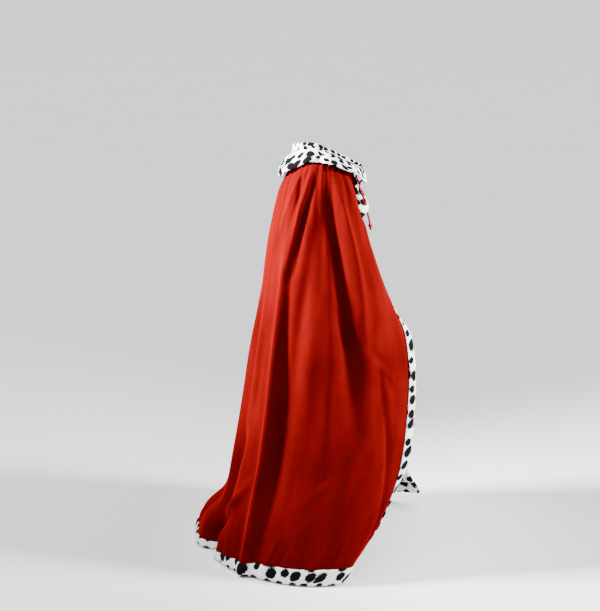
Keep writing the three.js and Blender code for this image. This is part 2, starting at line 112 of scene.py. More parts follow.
# Smaller creases laid over the folds, in the same columns.
CREASES = [
    (0.01, 0.17, (112, 115, 118), (0, -22, 0), (15, 20, 20), 1.9),
    (0.36, 0.78, (3, 0, -4), (0, -7, 0), (12, 16, 14), 1.8),
    (0.12, 1.12, (17.5, 20, 9), (2.0, 6.0, 4.5), (5, 7, 8), 1.2),
    (0.16, 1.04, (25, 27.5, 16.5), (-1.0, -10.0, -6.0), (6, 10, 11), 1.5),
    (0.03, 0.30, (47, 35, 29), (-2.0, -7.0, -2.0), (6, 8, 9), 1.6),
    (0.03, 0.22, (36, 23, 15), (-1.5, -3.6, 0), (4, 5, 6), 1.4),
    (0.02, 0.22, (30, 12, 2), (2.0, 3.6, 0), (4, 6, 8), 1.5),
    (0.02, 0.42, (64, 82, 87), (3.5, 7.0, 0), (5, 8, 12), 1.4),
    (0.04, 0.40, (54, 54, 53), (-2.5, -7.5, 0), (7, 12, 16), 1.8),
    (0.34, 0.76, (60, 61, 57), (0, 9.5, 0), (12, 17, 19), 1.9),
    (0.04, 0.56, (61, 72, 77), (-3.0, -8.0, 0), (7, 11, 15), 1.5),
    (0.33, 0.46, (63, 68, 74), (0, -4.0, 0), (8, 10, 12), 1.5),
    (0.04, 0.22, (84, 90, 94), (1.5, 2.0, 0), (4, 6, 9), 1.4),
    (0.04, 0.24, (100, 104, 108), (-1.5, -2.2, 0), (5, 7, 9), 1.5),
    (0.05, 0.26, (-12, -14, -16), (1.8, 2.0, 0), (6, 9, 12), 1.6),
    (0.06, 0.92, (-15, -11, -12), (-1.5, -5.0, 0), (6, 9, 12), 1.6),
    (0.05, 1.04, (-22, -21, -26), (1.5, 5.5, 0), (6, 10, 13), 1.6),
    (0.10, 1.10, (-33, -36, -40), (-1.5, -6.0, -6.0), (7, 11, 15), 1.7),
    (0.04, 1.05, (-46, -47, -50), (1.5, 6.0, 5.0), (6, 9, 13), 1.5),
    (0.14, 0.70, (-54, -53, -55), (0, -4.0, 0), (6, 8, 10), 1.5),
    (0.20, 1.10, (-2, -1, -4), (0, 3.5, 4.0), (8, 10, 13), 1.6),
    (0.43, 0.53, (84, 97, 110), (0, -6.5, 0), (7, 8, 8), 1.4),
    (0.45, 0.56, (88, 101, 114), (0, 5.5, 0), (7, 8, 8), 1.4),
    (0.48, 0.60, (96, 106, 115), (0, -3.6, 0), (6, 7, 8), 1.4),
    (0.46, 0.72, (101, 104, 107), (0, 3.2, 0), (8, 12, 12), 1.6),
    (0.44, 1.02, (96, 101, 68), (0, -7.5, -2.0), (6, 6, 8), 1.4),
    (0.70, 0.82, (75, 57, 40), (0, 3.2, 0), (7, 8, 7), 1.4),
    (0.69, 0.80, (78, 60, 45), (0, -2.6, 0), (7, 8, 7), 1.4),
    (0.73, 0.97, (18, -5, -30), (0, 9.0, 0), (9, 10, 10), 1.2),
    (0.79, 1.02, (12, -10, -30), (0, -7.0, 0), (9, 11, 12), 1.5),
    (0.84, 1.04, (6, 4, 2), (0, 3.4, 3.0), (6, 7, 8), 1.4),
    (0.86, 1.04, (-1, -4, -7), (0, -3.0, -3.0), (5, 6, 7), 1.4),
    (0.87, 1.02, (34, 27, 21), (0, 4.0, 1.0), (3, 4, 5), 1.3),
    (0.86, 1.03, (25, 17, 9), (0, 4.0, 2.0), (3, 4, 5), 1.3),
    (0.88, 1.02, (41, 34, 28), (0, -2.4, -0.5), (4, 5, 6), 1.5),
    (0.85, 1.0, (65, 55, 48), (0, 3.4, 0.5), (3, 4, 5), 1.3),
    (0.87, 1.0, (72, 65, 60), (0, 2.8, 0), (3, 4, 4), 1.3),
    (0.76, 1.05, (-38, -42, -45), (0, 2.6, 4), (8, 10, 12), 1.5),
    (0.35, 0.95, (-28, -30, -32), (0, 3.4, 0), (12, 16, 20), 1.7),
    (0.1, 0.6, (-20, -26, -30), (0, -3.2, 0), (8, 12, 16), 1.7),
    (0.08, 0.8, (-52, -58, -60), (1.5, 3.4, 0), (6, 10, 14), 1.5),
    (0.12, 0.7, (-96, -101, -104), (0, -3.0, 0), (6, 9, 12), 1.6),
    (0.1, 0.6, (-118, -122, -124), (0, 3.0, 0), (6, 9, 12), 1.5),
    (0.3, 0.9, (-146, -149, -152), (0, 2.8, 0), (7, 10, 14), 1.6),
]

# How fast a fold rises and dies away at its ends, and the places along it that its columns are given for.
FOLD_EASE = 6.0
STOPS = (0.0, 0.5, 1.0)

# Where the right front edge stands away from the chest. Columns: share at the middle, half its length in
# shares, run from the edge that bends, depth.
EDGE_STAND = (0.105, 0.085, 32.0, 17.0)

# Gathers at the collar seam. Columns: count round a full turn, phase in degrees, depth. They are full from
# the share GATHER_START and die away between the shares in GATHER_FADE.
GATHERS = [(20, 0, 0.8), (33, 40, 0.7), (47, 10, 0.6)]
GATHER_START = 0.03
GATHER_FADE = (0.06, 0.24)

# Wrinkles all over the velvet. Columns: waves across, waves down, phase, depth. They are full from the share
# WRINKLE_START. WRINKLE_SWELL holds their even part, the part that comes and goes, and its waves both ways.
WRINKLES = [(9.0, 1.3, 0.4, 0.5), (14.0, -2.1, 2.2, 0.4), (23.0, 3.4, 4.1, 0.25), (31.0, -5.2, 1.1, 0.15)]
WRINKLE_START = 0.3
WRINKLE_SWELL = (0.6, 0.4, 3.1, 9)

# The collar. Columns: bearing, stand above the seam, spread outwards, fall down the cloth, lift off it.
COLLAR = np.array([
    (-165, 10, 12, 28, 12),
    (-130, 16, 8, 32, 11),
    (-90, 24, 2, 34, 9),
    (-32, 30, 0, 32, 7),
    (10, 27, 0, 22, 6),
    (28, 23, 0, 18, 5),
    (44, 18, 0, 18, 5),
    (53, 15, 0, 18, 5),
    (57, 15, 5, 25, 15),
    (64, 14, 5, 26, 15),
    (80, 11, 5, 28, 14),
    (100, 9, 7, 33, 13),
    (125, 9, 12, 33, 15),
    (155, 9, 15, 24, 17),
], dtype=float)

# Waves of the collar's free edge: count round a full turn, depth.
COLLAR_WAVES = (11, 1.6)

# The stand's section up to the roll. Columns: height as a share of the stand, distance outwards.
ROLL = [(0.0, 0.0), (0.55, -2.0), (0.95, -1.0), (1.06, 4.0)]
ROOT_CLEARANCE = 1.0

# The fall's section: its rows, the step of length share that reads the cape's slope, how fast it turns from
# upright to lie along the cape, and how early it reaches its lift.
FALL_ROWS = 6
SLOPE_STEP = 0.01
FALL_TURN = 1.2
LIFT_EASE = 0.8

# Where the collar starts on the plush it is cut from, along and across.
COLLAR_START = np.array([150.0, 900.0])

# The neck tie. The knot, then the stops of each free end: bearing, reach, level.
KNOT = (172.0, 64.0, -38.0)
KNOT_RADIUS = 5.5
END_RIGHT = [
    (160, 65, -37), (147, 64, -32), (134, 66, -29), (122, 69, -29), (116.5, 70, -35), (119, 73, -47),
    (123, 76, -60), (124.5, 77, -65), (125, 77.5, -69),
]
END_LEFT = [
    (169, 67, -56), (164, 74, -78), (158, 80, -98), (155, 82.5, -113), (154.5, 83, -116), (154, 83.5, -120),
    (154, 83.5, -123),
]

# The strings: the straight start at the collar, how deep they go into the knot, and the rings along each.
STRING_LEAD = 5.0
STRING_DEPTH = 1.0
STRING_RINGS = 36

# A free end's last rings as shares of its radius, and a direction that no cord runs along.
END_TAPER = (0.9, 0.6)
ASIDE = (0.3, 0.9, 0.2)

# How finely a curve is read before its points are spread evenly, and the least length that is divided by.
FINE_STEPS = 20
LEAST_LENGTH = 1e-9


def smooth(x: np.ndarray | float) -> np.ndarray:
    """Eases from 0 to 1 as x goes from 0 to 1."""
    t = np.clip(x, 0.0, 1.0)
    return t * t * (3 - 2 * t)


def through(xs: np.ndarray, ys: np.ndarray, x: np.ndarray | float) -> np.ndarray:
    """Reads a smooth curve through points.

    Args:
        xs: Rising positions of the points.
        ys: Values at them, one row a point.
        x: Where to read the curve.

    Returns:
        The values at x, one row a place.
    """
    xs = np.asarray(xs, dtype=float)
    ys = np.asarray(ys, dtype=float)
    x = np.asarray(x, dtype=float)
    count = len(xs)
    lower = np.maximum(np.arange(count) - 1, 0)
    upper = np.minimum(np.arange(count) + 1, count - 1)
    run = xs[upper] - xs[lower]
    slopes = (ys[upper] - ys[lower]) / (run if ys.ndim == 1 else run[:, None])
    i = np.clip(np.searchsorted(xs, x, side="left") - 1, 0, count - 2)
    h = xs[i + 1] - xs[i]
    t = (x - xs[i]) / h
    if ys.ndim > 1:
        h = np.asarray(h)[..., None]
        t = np.asarray(t)[..., None]
    t2 = t * t
    t3 = t2 * t
    return ((2 * t3 - 3 * t2 + 1) * ys[i] + (t3 - 2 * t2 + t) * h * slopes[i]
            + (3 * t2 - 2 * t3) * ys[i + 1] + (t3 - t2) * h * slopes[i + 1])


def point_at(bearing: np.ndarray | float, reach: np.ndarray | float, level: np.ndarray | float) -> np.ndarray:
    """Gives the points at bearings, reaches and levels."""
    angle = np.radians(bearing)
    return np.stack(np.broadcast_arrays(-np.sin(angle) * reach, np.cos(angle) * reach, level), axis=-1)


def unit(vectors: np.ndarray) -> np.ndarray:
    """Scales vectors to length one."""
    return vectors / np.maximum(np.linalg.norm(vectors, axis=-1, keepdims=True), LEAST_LENGTH)


def sheet_normals(sheet: np.ndarray) -> np.ndarray:
    """Gives the unit vectors off a sheet of points, on its outer side."""
    return unit(np.cross(np.gradient(sheet, axis=0), np.gradient(sheet, axis=1)))


def run_along(points: np.ndarray) -> np.ndarray:
    """Gives the length from a line's first point to each of its points."""
    return np.concatenate([[0.0], np.cumsum(np.linalg.norm(np.diff(points, axis=0), axis=1))])


def resampled(line: np.ndarray, count: int) -> np.ndarray:
    """Spreads points evenly along a smooth curve through a line's points.

    Args:
        line: The points.
        count: How many points to return.

    Returns:
        The new points.
    """
    coarse = run_along(line)
    fine = through(coarse, line, np.linspace(0, coarse[-1], FINE_STEPS * len(line)))
    run = run_along(fine)
    places = np.linspace(0, run[-1], count)
    return np.stack([np.interp(places, run, fine[:, axis]) for axis in range(3)], axis=1)


@dataclass(frozen=True)
class Hoop:
    """One level line of the plain cape, before its folds."""

    left_edge: float
    right_edge: float
    hook: float
    reaches: np.ndarray
    levels: np.ndarray

    @classmethod
    def at(cls, share: float) -> Hoop:
        """Gives the hoop at a share of the cape's length.

        Args:
            share: Share of the cape's length.

        Returns:
            The hoop, read from a smooth curve through the table.
        """
        table = np.array([(*edges, *reaches, *levels) for *edges, reaches, levels in HOOPS], dtype=float)
        left_edge, right_edge, hook, *rest = through(table[:, 0], table[:, 1:], share)
        reaches, levels = np.split(np.array(rest), 2)
        return cls(left_edge, right_edge, hook, reaches, levels)

    def reach(self, bearing: np.ndarray | float) -> np.ndarray:
        """Reads the distance from the axis at a bearing."""
        return through(HOOP_BEARINGS, self.reaches, bearing)

    def level(self, bearing: np.ndarray | float) -> np.ndarray:
        """Reads the height at a bearing."""
        return through(HOOP_BEARINGS, self.levels, bearing)

    def plain(self, bearing: np.ndarray) -> np.ndarray:
        """Gives points of the hoop, whose last stretch before the right front edge bends inwards.

        Args:
            bearing: Bearings of the points.

        Returns:
            One point a bearing.
        """
        plain = point_at(bearing, self.reach(bearing), self.level(bearing))
        natural = HOOK_LENGTH / float(self.reach(self.right_edge))
        bend = self.right_edge - np.degrees(natural)
        if self.hook <= 0:
            return plain
        start = point_at(bend, self.reach(bend), 0.0)
        along = unit(point_at(bend + 1, self.reach(bend + 1), 0.0) - start)
        inwards = np.array([-along[1], along[0], 0.0])
        turn = natural + np.radians(self.hook)
        place = np.clip((bearing - bend) / (self.right_edge - bend), 0, 1)
        angle = turn * smooth(place / HOOK_TURN)
        step = np.gradient(place) * HOOK_LENGTH
        forwards = np.cumsum(step * np.cos(angle))[:, None]
        sideways = np.cumsum(step * np.sin(angle))[:, None]
        hooked = start + along * forwards + inwards * sideways
        hooked[:, 2] = plain[:, 2]
        mixed = plain + (hooked - plain) * smooth(self.hook / HOOK_BLEND)
        return np.where((bearing > bend)[:, None], mixed, plain)


class Drape:
    """The cape's form: hoops, folds, creases and gathers."""

    SAMPLES = 900

    def relief(self, table: list[tuple], share: float, bearing: np.ndarray, reach: np.ndarray) -> np.ndarray:
        """Adds up how far a table of folds moves the cloth outwards.

        Args:
            table: Folds or creases.
            share: Share of the cape's length.
            bearing: Bearings along the row.
            reach: Distances from the axis there.

        Returns:
            Millimetres outwards.
        """
        total = np.zeros_like(bearing)
        for start, end, bearings, depths, widths, power in table:
            s = (share - start) / (end - start)
            if not 0 < s < 1:
                continue
            aside = np.radians(bearing - through(STOPS, bearings, s)) * reach
            away = np.abs(aside / through(STOPS, widths, s))
            ends = smooth(s * FOLD_EASE) * smooth((1 - s) * FOLD_EASE)
            total += through(STOPS, depths, s) * ends * np.exp(-(away ** power))
        return total

    def gathers(self, share: float, bearing: np.ndarray) -> np.ndarray:
        """Gives how far the gathers at the collar seam move the cloth outwards.

        Args:
            share: Share of the cape's length.
            bearing: Bearings along the row.

        Returns:
            Millimetres outwards.
        """
        fade = 1 - smooth((share - GATHER_FADE[0]) / (GATHER_FADE[1] - GATHER_FADE[0]))
        waves = sum(d * np.cos(np.radians(bearing * count + phase)) for count, phase, d in GATHERS)
        return waves * fade * smooth(share / GATHER_START)

    def wrinkles(self, share: float, bearing: np.ndarray) -> np.ndarray:
        """Gives the small wrinkles that a worn cape keeps, stronger lower down.

        Args:
            share: Share of the cape's length.
            bearing: Bearings along the row.

        Returns:
            Millimetres outwards.
        """
        angle = np.radians(bearing)
        waves = sum(d * np.sin(across * angle + down * 2 * np.pi * share + phase)
                    for across, down, phase, d in WRINKLES)
        even, changing, across, down = WRINKLE_SWELL
        swell = even + changing * np.sin(across * angle + down * share)
        return waves * smooth(share / WRINKLE_START) * swell

    def edge_stand(self, hoop: Hoop, share: float, bearing: np.ndarray, reach: np.ndarray) -> np.ndarray:
        """Gives how far the right front edge stands out under the collar.

        Args:
            hoop: The row's hoop.
            share: Share of the cape's length.
            bearing: Bearings along the row.
            reach: Distances from the axis there.

        Returns:
            Millimetres outwards.
        """
        middle, half, run, depth = EDGE_STAND
        to_edge = np.radians(hoop.right_edge - bearing) * reach
        return depth * smooth(1 - abs(share - middle) / half) * smooth(1 - to_edge / run)

    def cloth(self, hoop: Hoop, share: float, bearing: np.ndarray) -> np.ndarray:
        """Gives points on the outside of the velvet along one row.

        Args:
            hoop: The row's hoop.
            share: Share of the cape's length.
            bearing: Bearings along the row.

        Returns:
            One point a bearing.
        """
        reach = hoop.reach(bearing)
        still = smooth(np.radians(hoop.right_edge - bearing) * reach / HOOK_LENGTH)
        edge = smooth(np.radians(bearing - hoop.left_edge) * reach / HOOK_LENGTH)
        out = self.relief(FOLDS, share, bearing, reach) + self.gathers(share, bearing)
        fine = self.relief(CREASES, share, bearing, reach) + self.wrinkles(share, bearing)
        stand = self.edge_stand(hoop, share, bearing, reach)
        return hoop.plain(bearing) + point_at(bearing, (out + fine * edge) * still + stand, 0.0)

    def ridge(self, share: float) -> float:
        """Gives the bearing of the long back ridge, which one column of the cloth follows."""
        along = np.clip((share - RIDGE[0]) / (RIDGE[1] - RIDGE[0]), 0, 1)
        return float(through(STOPS, RIDGE[2], along))

    def row(self, share: float, band: int, back: int, front: int) -> np.ndarray:
        """Gives one row of the cloth from the left front edge to the right one.

        Args:
            share: Share of the cape's length.
            band: Steps across each front band.
            back: Steps from the left band to the long ridge.
            front: Steps from the ridge to the right band.

        Returns:
            The row's points.
        """
        hoop = Hoop.at(share)
        bearings = np.linspace(hoop.left_edge, hoop.right_edge, self.SAMPLES)
        run = run_along(hoop.plain(bearings))
        ridge = np.interp(self.ridge(share), bearings, run)
        places = np.concatenate([
            np.linspace(0, BAND_WIDTH, band, endpoint=False),
            np.linspace(BAND_WIDTH, ridge, back, endpoint=False),
            np.linspace(ridge, run[-1] - BAND_WIDTH, front, endpoint=False),
            np.linspace(run[-1] - BAND_WIDTH, run[-1], band + 1),
        ])
        return self.cloth(hoop, share, np.interp(places, run, bearings))

    def seam_line(self, share: float, bearing: float) -> np.ndarray:
        """Gives a point of the cloth without its folds."""
        hoop = Hoop.at(share)
        return point_at(bearing, hoop.reach(bearing), hoop.level(bearing))


def add_piece(name: str, shape: bmesh.types.BMesh, materials: list[bpy.types.Material]) -> bpy.types.Object:
    """Puts a finished bmesh into the scene as a smooth-shaded piece on the robe's body.

    Args:
        name: The piece's name.
        shape: The mesh, which is freed.
        materials: Its materials.

    Returns:
        The new object.
    """
    for face in shape.faces:
        face.smooth = True
    mesh = bpy.data.meshes.new(name)
    shape.to_mesh(mesh)
    shape.free()
    for material in materials:
        mesh.materials.append(material)
    piece = bpy.data.objects.new(name, mesh)
    bpy.context.scene.collection.objects.link(piece)
    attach(piece, BODY)
    LOG.info("%s: %d faces", name, len(mesh.polygons))
    return piece


def sheet_shape(points: np.ndarray, chart: np.ndarray) -> bmesh.types.BMesh:
    """Shapes a grid into a sheet of cloth.

    Args:
        points: Rows and columns of points in millimetres, the rows running down.
        chart: The same rows and columns of flat cloth coordinates in millimetres.

    Returns:
        The sheet, with its cloth coordinates in metres as a UV map named cut.
    """
    rows, columns = points.shape[:2]
    shape = bmesh.new()
    bmesh.ops.create_grid(shape, x_segments=columns - 1, y_segments=rows - 1, size=0.5)
    cut = shape.loops.layers.uv.new("cut")
    places = {}
    for vert in shape.verts:
        column = round((vert.co.x + 0.5) * (columns - 1))
        row = round((0.5 - vert.co.y) * (rows - 1))
        places[vert.index] = (chart[row, column] * MM).tolist()
        vert.co = points[row, column] * MM
    for face in shape.faces:
        for loop in face.loops:
            loop[cut].uv = places[loop.vert.index]
    return shape


def flat_chart(points: np.ndarray) -> np.ndarray:
    """Measures a sheet's flat coordinates: along its middle row, and down its middle column.

    Args:
        points: Rows and columns of points in millimetres.

    Returns:
        The same rows and columns of flat coordinates.
    """
    rows, columns = points.shape[:2]
    across = run_along(points[rows // 2])
    down = run_along(points[:, columns // 2])
    return np.stack(np.meshgrid(across, down), axis=-1)


def thicken(piece: bpy.types.Object, thickness: float, offset: float, inner_slot: int = 0) -> None:
    """Gives a sheet its wall.

    Args:
        piece: The sheet.
        thickness: Wall in millimetres.
        offset: -1 puts it inside the sheet, 0 on both sides.
        inner_slot: Material steps from the outer face to the inner one.
    """
    wall = piece.modifiers.new("wall", "SOLIDIFY")
    wall.thickness = thickness * MM
    wall.offset = offset
    wall.material_offset = inner_slot
    wall.material_offset_rim = inner_slot


def round_off(piece: bpy.types.Object) -> None:
    """Rounds a piece's edges with one subdivision."""
    rounding = piece.modifiers.new("rounding", "SUBSURF")
    rounding.levels = rounding.render_levels = 1


def ruffle(piece: bpy.types.Object, size: float, depth: float) -> None:
    """Breaks up a plush face into clumps of pile.

    Args:
        piece: The plush piece.
        size: Width of a clump in millimetres.
        depth: Height of the relief in millimetres.
    """
    clumps = bpy.data.textures.new(piece.name + "_clumps", "CLOUDS")
    clumps.noise_scale = size * MM
    clumps.noise_depth = 2
    relief = piece.modifiers.new("clumps", "DISPLACE")
    relief.texture = clumps
    relief.texture_coords = "LOCAL"
    relief.strength = depth * MM
    relief.mid_level = 0.5


class NodeSheet:
    """Builds a material's nodes in a few words."""

    def __init__(self, name: str) -> None:
        """Starts a material with a Principled shader.

        Args:
            name: The material's name.
        """
        self.material = bpy.data.materials.new(name)
        self.material.use_nodes = True
        self.tree = self.material.node_tree
        self.shader = self.tree.nodes["Principled BSDF"]

    def add(self, kind: str, inputs: dict[str | int, object] | None = None,
            **settings: object) -> bpy.types.Node:
        """Adds a node, sets its properties and fills or links its inputs.

        Args:
            kind: The node's type.
            inputs: Values, or sockets to link from, by input name or number.
            **settings: The node's own properties.

        Returns:
            The node.
        """
        node = self.tree.nodes.new(kind)
        for key, value in settings.items():
            setattr(node, key, value)
        for key, value in (inputs or {}).items():
            self.feed(node.inputs[key], value)
        return node

    def feed(self, socket: bpy.types.NodeSocket, value: object) -> None:
        """Links a socket into an input, or sets the input's value.

        Args:
            socket: The input.
            value: The socket to link from, or the value.
        """
        if isinstance(value, bpy.types.NodeSocket):
            self.tree.links.new(value, socket)
        else:
            socket.default_value = value

    def maths(self, operation: str, *values: object) -> bpy.types.NodeSocket:
        """Gives the result of a sum on numbers."""
        return self.add("ShaderNodeMath", dict(enumerate(values)), operation=operation).outputs[0]

    def noise(self, where: bpy.types.NodeSocket, scale: float, detail: float = 3.0) -> bpy.types.NodeSocket:
        """Gives the height of a noise pattern."""
        inputs = {"Vector": where, "Scale": scale, "Detail": detail}
        return self.add("ShaderNodeTexNoise", inputs).outputs["Fac"]

    def remap(self, value: bpy.types.NodeSocket, low: float, high: float, to_low: float,
              to_high: float) -> bpy.types.NodeSocket:
        """Eases a value from one range to another."""
        return self.add("ShaderNodeMapRange", {0: value, 1: low, 2: high, 3: to_low, 4: to_high},
                        interpolation_type="SMOOTHSTEP").outputs[0]

    def mix(self, share: object, first: object, second: object) -> bpy.types.NodeSocket:
        """Mixes two colours.

        Args:
            share: How much of the second colour, a value or a socket.
            first: The first colour, a value or a socket.
            second: The second colour, a value or a socket.

        Returns:
            The mixed colour.
        """
        node = self.add("ShaderNodeMix", {"Factor": share}, data_type="RGBA")
        self.feed(node.inputs[6], first)
        self.feed(node.inputs[7], second)
        return node.outputs[2]

    def bump(self, height: bpy.types.NodeSocket, strength: float, distance: float) -> bpy.types.NodeSocket:
        """Gives the normal of a relief, its distance in metres."""
        inputs = {"Height": height, "Strength": strength, "Distance": distance}
        return self.add("ShaderNodeBump", inputs).outputs[0]

    def wobble(self, where: bpy.types.NodeSocket, scale: float, detail: float,
               height: float) -> bpy.types.NodeSocket:
        """Gives a noise pattern that swings about zero."""
        return self.maths("MULTIPLY", self.maths("SUBTRACT", self.noise(where, scale, detail), 0.5), height)

    def surface(self, **sockets: object) -> bpy.types.Material:
        """Sets the shader's inputs, their names with underscores for spaces, and gives the material."""
        for name, value in sockets.items():
            self.feed(self.shader.inputs[name.replace("_", " ")], value)
        return self.material


Colour = tuple[float, float, float, float]


@dataclass(frozen=True)
class VelvetFinish:
    """Short-pile polyester velvet that darkens where it faces the eye and lights up at its folds."""

    name: str = "velvet"
    deep: Colour = (0.032, 0.0008, 0.0008, 1)
    lit: Colour = (0.13, 0.0030, 0.0028, 1)
    sheen_tint: Colour = (0.75, 0.006, 0.007, 1)
    stroke_stretch: tuple[float, float, float] = (1.0, 0.28, 1.0)
    stroke_scale: float = 26.0
    mark_scale: float = 9.0
    pile_scale: float = 1500.0
    stroke_share: float = 0.24
    mark_share: float = 0.1
    pile_share: float = 0.16
    even_share: float = 0.33

    def material(self) -> bpy.types.Material:
        """Builds the velvet, its nap brushed in long strokes with broader pressed marks.

        Returns:
            The material.
        """
        nodes = NodeSheet(self.name)
        cloth = nodes.add("ShaderNodeUVMap", uv_map="cut").outputs[0]
        brushed = nodes.add("ShaderNodeMapping", {"Vector": cloth, "Scale": self.stroke_stretch}).outputs[0]
        strokes = nodes.noise(brushed, self.stroke_scale, 4.0)
        marks = nodes.noise(cloth, self.mark_scale, 3.0)
        marked = nodes.maths("MULTIPLY_ADD", marks, self.mark_share, self.even_share)
        patches = nodes.maths("MULTIPLY_ADD", strokes, self.stroke_share, marked)
        pile = nodes.noise(cloth, self.pile_scale, 2.0)
        nap = nodes.maths("MULTIPLY_ADD", pile, self.pile_share, patches)
        colour = nodes.mix(nodes.remap(nap, 0.42, 0.74, 0.0, 1.0), self.deep, self.lit)
        height = nodes.maths("MULTIPLY_ADD", strokes, 1.4, nodes.maths("MULTIPLY", pile, 0.3))
        return nodes.surface(
            Base_Color=colour,
            Roughness=nodes.remap(nap, 0.4, 0.8, 0.78, 0.6),
            Specular_IOR_Level=0.0,
            Sheen_Weight=0.75,
            Sheen_Roughness=0.35,
            Sheen_Tint=self.sheen_tint,
            Normal=nodes.bump(height, 0.5, 0.0007),
        )


@dataclass(frozen=True)
class BackingFinish:
    """The knitted back of the velvet, seen inside the cape."""

    name: str = "velvet_back"
    tint: Colour = (0.075, 0.002, 0.0015, 1)
    faded: Colour = (0.10, 0.003, 0.002, 1)
    rib_scale: float = 160.0
    wear_scale: float = 14.0

    def material(self) -> bpy.types.Material:
        """Builds the velvet's back with its fine ribs.

        Returns:
            The material.
        """
        nodes = NodeSheet(self.name)
        cloth = nodes.add("ShaderNodeUVMap", uv_map="cut").outputs[0]
        ribs = nodes.add("ShaderNodeTexWave", {"Vector": cloth, "Scale": self.rib_scale, "Distortion": 0.6},
                         wave_type="BANDS").outputs["Fac"]
        worn = nodes.noise(cloth, self.wear_scale, 4.0)
        return nodes.surface(
            Base_Color=nodes.mix(worn, self.tint, self.faded),
            Roughness=0.85,
            Specular_IOR_Level=0.2,
            Normal=nodes.bump(ribs, 0.35, 0.0002),
        )


@dataclass(frozen=True)
class PlushFinish:
    """White short-pile plush with dark, soft-edged oval spots, its white painted darker as shade where the
    relief of its pile is low.

    A spot's width and length are shares of its cell's width, and so is how far it may stray from the middle.
    """

    name: str = "plush"
    white: Colour = (0.86, 0.845, 0.84, 1)
    shade: Colour = (0.68, 0.655, 0.65, 1)
    spot: Colour = (0.004, 0.0038, 0.0045, 1)
    cell: float = 0.0240
    spot_width: float = 0.40
    # shade is painted shade: the colour given to the white pile in the hollows between its clumps.
    spot_length: float = 0.52
    turn: float = 0.7
    scatter: float = 0.42
    least_size: float = 0.62
    size_range: float = 0.6
    ragged: float = 0.6
    rim: tuple[float, float] = (0.84, 1.1)
    clump_scale: float = 240.0
    pile_scale: float = 1100.0

    def spots(self, nodes: NodeSheet, cloth: bpy.types.NodeSocket) -> bpy.types.NodeSocket:
        """Lays one oval in each cell of the cloth, turned and sized at random.

        Args:
            nodes: The material's nodes.
            cloth: Flat coordinates of the cloth in metres.

        Returns:
            1 in a spot and 0 between spots.
        """
        grid = nodes.add("ShaderNodeVectorMath", {0: cloth, 1: (1 / self.cell, 1 / self.cell, 0.0)},
                         operation="MULTIPLY").outputs[0]
        cells = nodes.add("ShaderNodeTexVoronoi", {"Vector": grid, "Scale": 1.0, "Randomness": self.scatter},
                          voronoi_dimensions="2D")
        off = nodes.add("ShaderNodeVectorMath", {0: grid, 1: cells.outputs["Position"]},
                        operation="SUBTRACT").outputs[0]
        chance = nodes.add("ShaderNodeSeparateColor", {"Color": cells.outputs["Color"]})
        angle = nodes.maths("MULTIPLY", nodes.maths("SUBTRACT", chance.outputs[0], 0.5), self.turn)
        turned = nodes.add("ShaderNodeVectorRotate", {"Vector": off, "Angle": angle},
                           rotation_type="Z_AXIS").outputs[0]
        squeeze = (1 / self.spot_width, 1 / self.spot_length, 0.0)
        oval = nodes.add("ShaderNodeVectorMath", {0: turned, 1: squeeze}, operation="MULTIPLY").outputs[0]
        away = nodes.add("ShaderNodeVectorMath", {0: oval}, operation="LENGTH").outputs["Value"]
        size = nodes.maths("MULTIPLY_ADD", chance.outputs[1], self.size_range, self.least_size)
        rough = nodes.wobble(cloth, 260.0, 2.0, self.ragged)
        blot = nodes.wobble(cloth, 75.0, 1.0, self.ragged)
        edge = nodes.maths("ADD", nodes.maths("DIVIDE", away, size), nodes.maths("ADD", rough, blot))
        return nodes.remap(edge, *self.rim, 1.0, 0.0)

    def material(self) -> bpy.types.Material:
        """Builds the spotted plush.

        Returns:
            The material.
        """
        nodes = NodeSheet(self.name)
        cloth = nodes.add("ShaderNodeUVMap", uv_map="cut").outputs[0]
        place = nodes.add("ShaderNodeTexCoord").outputs["Object"]
        clumps = nodes.noise(place, self.clump_scale, 3.0)
        pile = nodes.noise(place, self.pile_scale, 2.0)
        height = nodes.maths("MULTIPLY_ADD", clumps, 0.8, nodes.maths("MULTIPLY", pile, 0.5))
        # Painted shade: the white is mixed towards shade where the relief that also drives the bump is low.
        pile_with_painted_shade = nodes.mix(nodes.remap(height, 0.35, 0.75, 0.0, 1.0), self.shade, self.white)
        colour = nodes.mix(self.spots(nodes, cloth), pile_with_painted_shade, self.spot)
        return nodes.surface(
            Base_Color=colour,
            Roughness=0.95,
            Specular_IOR_Level=0.02,
            Normal=nodes.bump(height, 0.75, 0.0012),
        )


@dataclass(frozen=True)
class CordFinish:
    """Red satin-faced tie cord, with painted shade in the grooves between its strands and painted highlight
    along their crowns.
    """

    name: str = "cord"
    # dark and bright are painted shade and painted highlight, laid across each strand by the same bands as
    # the bump.
    dark: Colour = (0.15, 0.001, 0.004, 1)
    bright: Colour = (0.36, 0.003, 0.010, 1)
    strand_scale: float = 110.0

    def material(self) -> bpy.types.Material:
        """Builds the cord, its strands winding round the UV map.

        Returns:
            The material.
        """
        nodes = NodeSheet(self.name)
        wrap = nodes.add("ShaderNodeUVMap", uv_map="cut").outputs[0]
        lay = {"Vector": wrap, "Scale": self.strand_scale, "Distortion": 0.4}
        strands = nodes.add("ShaderNodeTexWave", lay, wave_type="BANDS",
                            bands_direction="DIAGONAL").outputs["Fac"]
        # The colour is painted shade in the grooves and painted highlight on the strands, following the
        # bump's bands.
        return nodes.surface(
            Base_Color=nodes.mix(strands, self.dark, self.bright),
            Roughness=0.42,
            Specular_IOR_Level=0.2,
            Normal=nodes.bump(strands, 0.6, 0.0003),
        )


